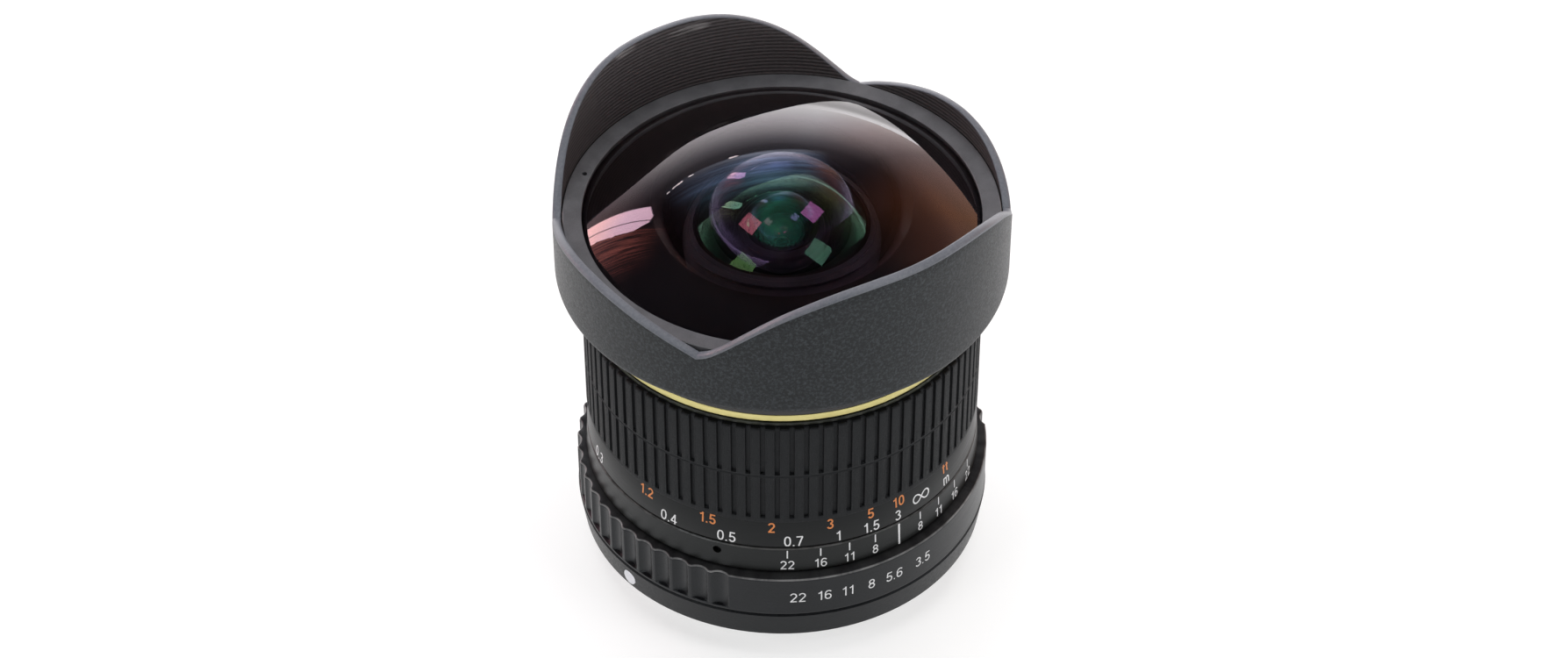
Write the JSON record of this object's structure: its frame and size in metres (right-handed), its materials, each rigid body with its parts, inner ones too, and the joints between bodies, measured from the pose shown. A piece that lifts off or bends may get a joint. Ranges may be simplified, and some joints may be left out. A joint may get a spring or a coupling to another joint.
{
  "type": "camera prime lens",
  "caption": "Ultra-wide manual prime lens with bulging front glass, fixed petal hood, ribbed focus ring, fluted aperture ring, six-blade iris and three-claw bayonet mount.",
  "frame": {"origin": "centre of the mount flange's rear face, on the optical axis", "axes": "+Z along the optical axis towards the subject; the index line faces -Y; +X is to the right seen from the index side"},
  "size_m": [0.075, 0.075, 0.0836],
  "materials": {
    "chrome_mount": "polished",
    "steel_screws": "plain",
    "black_screws": "black oxide",
    "black_plastic": "matte",
    "base_paint": "satin black",
    "white_paint": "white",
    "black_anodised": "black anodised",
    "index_paint": "satin black anodised",
    "accent_gold": "gold anodised",
    "hood_paint": "fine-textured matte black",
    "trim_paint": "turned, matte black",
    "seal_rubber": "plain",
    "front_glass": "coated",
    "optical_glass": "coated",
    "ring_paint": "satin black",
    "grip_rubber": "ribbed",
    "brass_part": "plain",
    "blade_steel": "blackened"
  },
  "bodies": {
    "fixed_barrel": {"bayonet_mount": "chrome_mount", "mount_screws": "steel_screws", "rear_baffle": "black_plastic", "base_ring": "base_paint", "mount_index_dot": "white_paint", "main_barrel": "black_anodised", "index_ring": "index_paint", "index_set_screws": "black_screws", "click_ball": "steel_screws", "click_spring": "steel_screws", "click_spring_screw": "steel_screws", "iris_housing": "black_anodised", "iris_housing_screws": "steel_screws", "iris_retainer": "black_plastic", "iris_retainer_screws": "steel_screws", "front_barrel": "black_anodised", "front_barrel_set_screws": "black_screws", "accent_ring": "accent_gold", "petal_hood": "hood_paint", "hood_screws": "black_screws", "trim_ring": "trim_paint", "front_seal": "seal_rubber", "front_cell": "black_anodised", "front_cell_screws": "steel_screws", "front_element": "front_glass", "element_2": "optical_glass", "front_cell_retainer": "black_anodised", "element_3": "optical_glass", "element_3_retainer": "black_anodised", "rear_cell": "black_anodised", "element_6": "optical_glass", "element_7": "optical_glass", "rear_doublet_ring": "black_anodised", "element_8": "optical_glass", "element_9": "optical_glass", "rear_spacer": "black_anodised", "element_10": "optical_glass", "rear_retainer": "black_anodised"},
    "focus_ring": {"focus_ring": "ring_paint", "rubber_grip": "grip_rubber", "cam_sleeve": "black_anodised", "cam_sleeve_screws": "steel_screws"},
    "focus_group": {"focus_cell": "black_anodised", "focus_follower_pins": "steel_screws", "element_4": "optical_glass", "element_5": "optical_glass", "focus_cell_retainer": "black_anodised"},
    "aperture_ring": {"aperture_ring": "ring_paint", "aperture_drive_pin": "steel_screws", "iris_actuator": "brass_part"},
    "iris_blade_1": {"iris_blade_1": "blade_steel"},
    "iris_blade_2": {"iris_blade_2": "blade_steel"},
    "iris_blade_3": {"iris_blade_3": "blade_steel"},
    "iris_blade_4": {"iris_blade_4": "blade_steel"},
    "iris_blade_5": {"iris_blade_5": "blade_steel"},
    "iris_blade_6": {"iris_blade_6": "blade_steel"}
  },
  "joints": [
    {"name": "focus_ring_turn", "type": "hinge", "parent": "fixed_barrel", "child": "focus_ring", "pos_m": [0, 0, 0.033], "axis": [0, 0, 1], "range_deg": [-8, 102]},
    {"name": "focus_group_slide", "type": "slide", "parent": "fixed_barrel", "child": "focus_group", "axis": [0, 0, 1], "range_m": [-0.0001, 0.00121]},
    {"name": "aperture_ring_turn", "type": "hinge", "parent": "fixed_barrel", "child": "aperture_ring", "pos_m": [0, 0, 0.01], "axis": [0, 0, 1], "range_deg": [-6.2, 31.6]},
    {"name": "blade_1_swing", "type": "hinge", "parent": "fixed_barrel", "child": "iris_blade_1", "pos_m": [0.009, 0, 0.0125], "axis": [0, 0, 1], "range_deg": [-3.63, 18.11]},
    {"name": "blade_2_swing", "type": "hinge", "parent": "fixed_barrel", "child": "iris_blade_2", "pos_m": [0.0045, 0.00779, 0.0125], "axis": [0, 0, 1], "range_deg": [-3.63, 18.11]},
    {"name": "blade_3_swing", "type": "hinge", "parent": "fixed_barrel", "child": "iris_blade_3", "pos_m": [-0.0045, 0.00779, 0.0125], "axis": [0, 0, 1], "range_deg": [-3.63, 18.11]},
    {"name": "blade_4_swing", "type": "hinge", "parent": "fixed_barrel", "child": "iris_blade_4", "pos_m": [-0.009, 0, 0.0125], "axis": [0, 0, 1], "range_deg": [-3.63, 18.11]},
    {"name": "blade_5_swing", "type": "hinge", "parent": "fixed_barrel", "child": "iris_blade_5", "pos_m": [-0.0045, -0.00779, 0.0125], "axis": [0, 0, 1], "range_deg": [-3.63, 18.11]},
    {"name": "blade_6_swing", "type": "hinge", "parent": "fixed_barrel", "child": "iris_blade_6", "pos_m": [0.0045, -0.00779, 0.0125], "axis": [0, 0, 1], "range_deg": [-3.63, 18.11]}
  ],
  "couplings": [
    {"joint": "focus_group_slide", "follows": "focus_ring_turn", "m_per_rad": 0.00067407},
    {"joint": "blade_1_swing", "follows": "aperture_ring_turn", "ratio": 0.57008},
    {"joint": "blade_2_swing", "follows": "aperture_ring_turn", "ratio": 0.57008},
    {"joint": "blade_3_swing", "follows": "aperture_ring_turn", "ratio": 0.57008},
    {"joint": "blade_4_swing", "follows": "aperture_ring_turn", "ratio": 0.57008},
    {"joint": "blade_5_swing", "follows": "aperture_ring_turn", "ratio": 0.57008},
    {"joint": "blade_6_swing", "follows": "aperture_ring_turn", "ratio": 0.57008}
  ]
}
